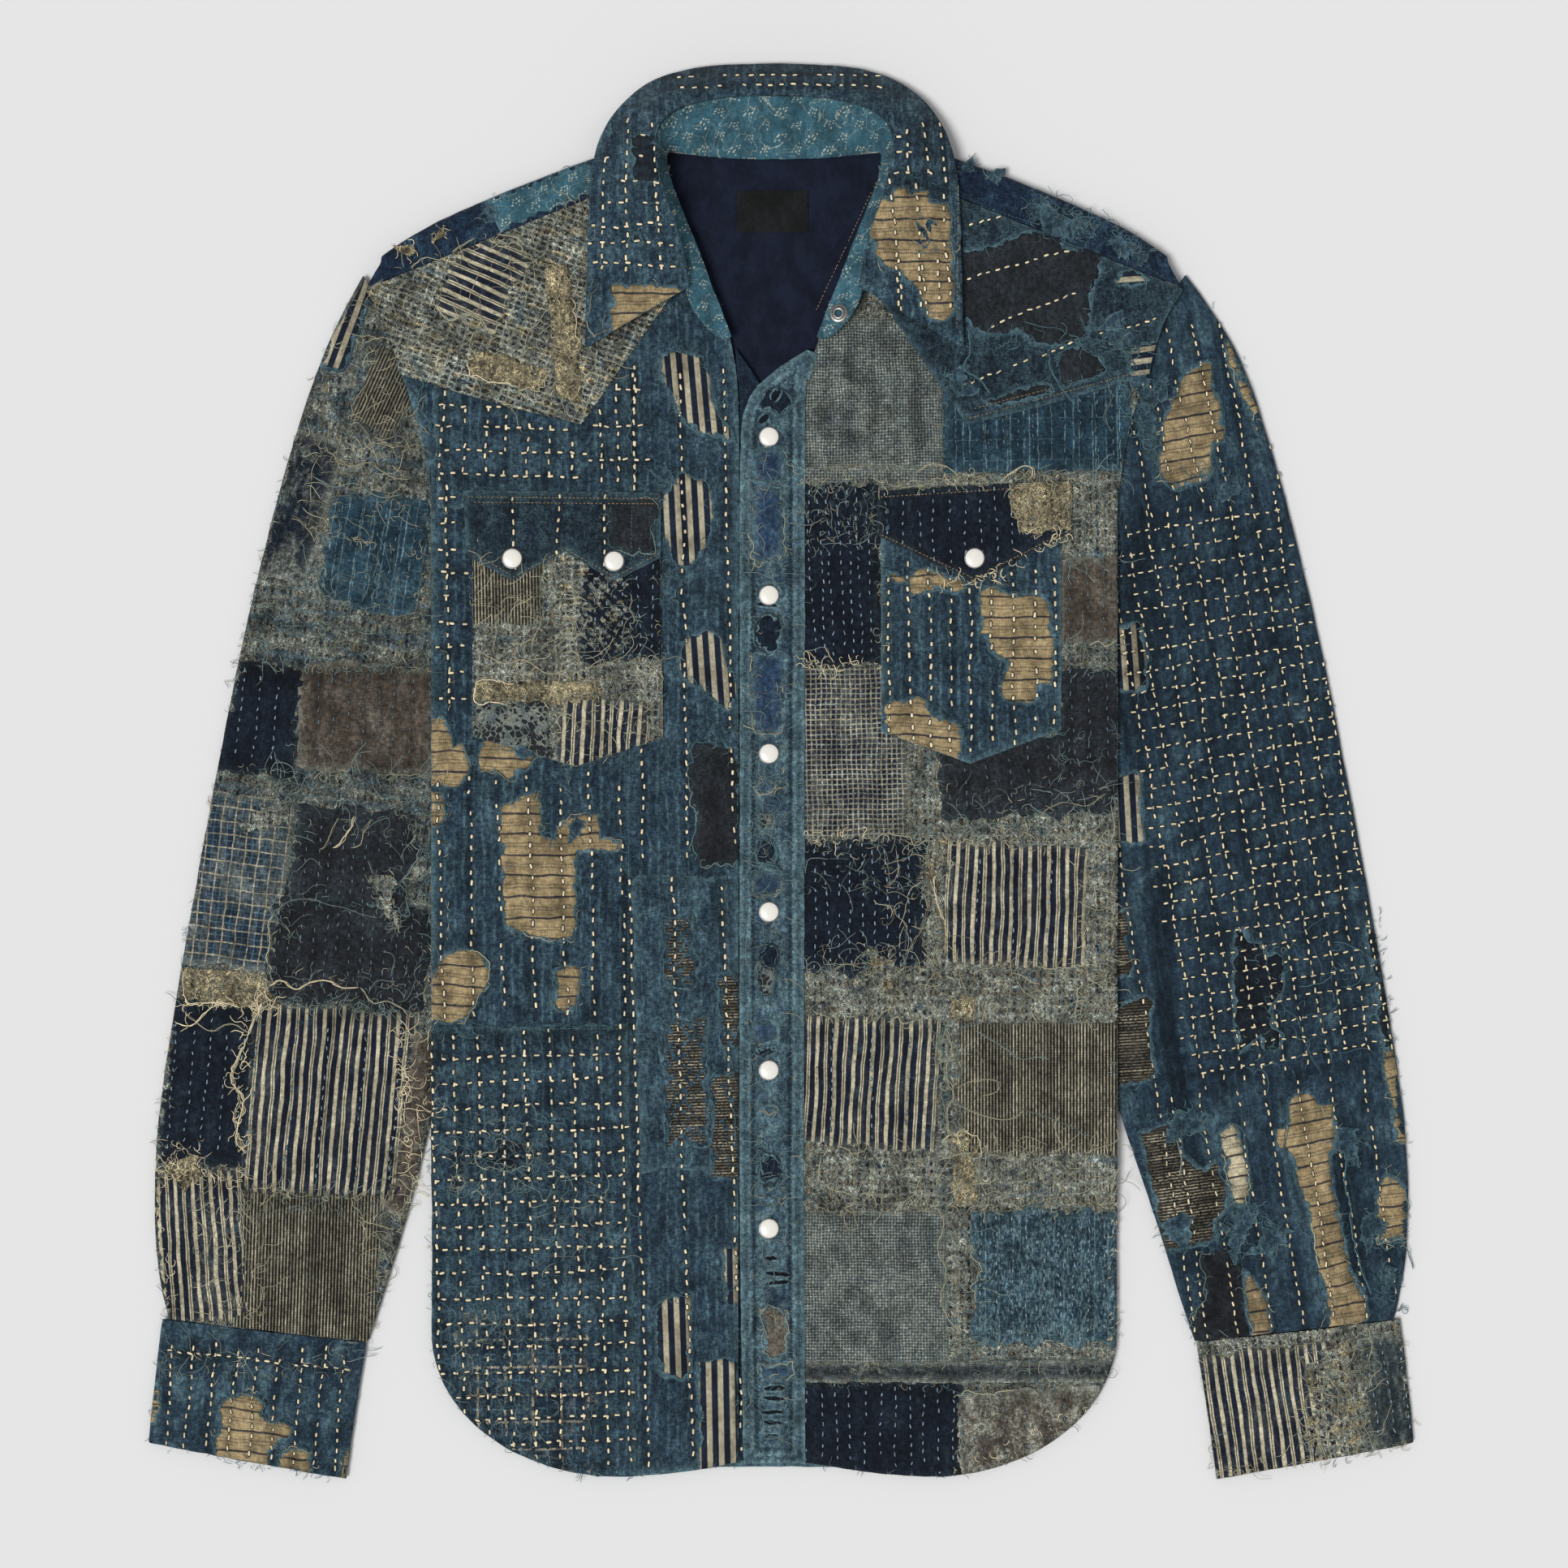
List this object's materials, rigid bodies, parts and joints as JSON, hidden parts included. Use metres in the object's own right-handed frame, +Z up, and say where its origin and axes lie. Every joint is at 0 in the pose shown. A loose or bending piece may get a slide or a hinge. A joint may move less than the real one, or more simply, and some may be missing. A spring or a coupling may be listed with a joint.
{
  "type": "patched boro overshirt with western yokes and snaps, laid flat",
  "caption": "Long-sleeved western overshirt of overlapping worn indigo patches, quilted by hand with running stitches, snapped shut and laid flat with its front up.",
  "frame": {"origin": "centre of the bounding box's bottom face, on the surface that the overshirt lies on", "axes": "+X towards the wearer's left, +Y from the hem to the collar, +Z up out of the front"},
  "size_m": [0.732, 0.819, 0.0302],
  "materials": {
    "indigo_cotton": "washed and worn indigo cotton, quilted with cream running stitches",
    "worn_indigo": "faded blue cotton, rubbed pale at its edges",
    "patched_cotton": "overlapping worn patches of grey, striped, checked and netted cotton",
    "stripe_cotton": "navy and ecru striped cotton under worn gauze",
    "teal_print": null,
    "navy_lining": "plain dark navy cotton",
    "label_cloth": "bare black woven cloth",
    "snap_pearl": "off-white pearly snap cap",
    "snap_metal": "dull dark metal snap rim and socket"
  },
  "bodies": {
    "root": {"back": "indigo_cotton", "back_yoke": "worn_indigo", "collar_leaf": "worn_indigo", "collar_snap_socket": "snap_metal", "collar_stand": "teal_print", "cuff_left": "stripe_cotton", "cuff_right": "indigo_cotton", "flap_left": "indigo_cotton", "flap_right": "indigo_cotton", "front_left": "patched_cotton", "front_right": "indigo_cotton", "front_yoke_left": "indigo_cotton", "front_yoke_right": "patched_cotton", "neck_label": "label_cloth", "placket": "worn_indigo", "pocket_left": "indigo_cotton", "pocket_right": "patched_cotton", "sleeve_left": "indigo_cotton", "sleeve_right": "patched_cotton", "snap_cap_front_1": "snap_pearl", "snap_cap_front_2": "snap_pearl", "snap_cap_front_3": "snap_pearl", "snap_cap_front_4": "snap_pearl", "snap_cap_front_5": "snap_pearl", "snap_cap_front_6": "snap_pearl", "snap_cap_pocket_left": "snap_pearl", "snap_cap_pocket_right_inner": "snap_pearl", "snap_cap_pocket_right_outer": "snap_pearl", "snap_rim_front_1": "snap_metal", "snap_rim_front_2": "snap_metal", "snap_rim_front_3": "snap_metal", "snap_rim_front_4": "snap_metal", "snap_rim_front_5": "snap_metal", "snap_rim_front_6": "snap_metal", "snap_rim_pocket_left": "snap_metal", "snap_rim_pocket_right_inner": "snap_metal", "snap_rim_pocket_right_outer": "snap_metal", "under_placket": "indigo_cotton", "yoke_lining": "navy_lining"}
  },
  "joints": []
}
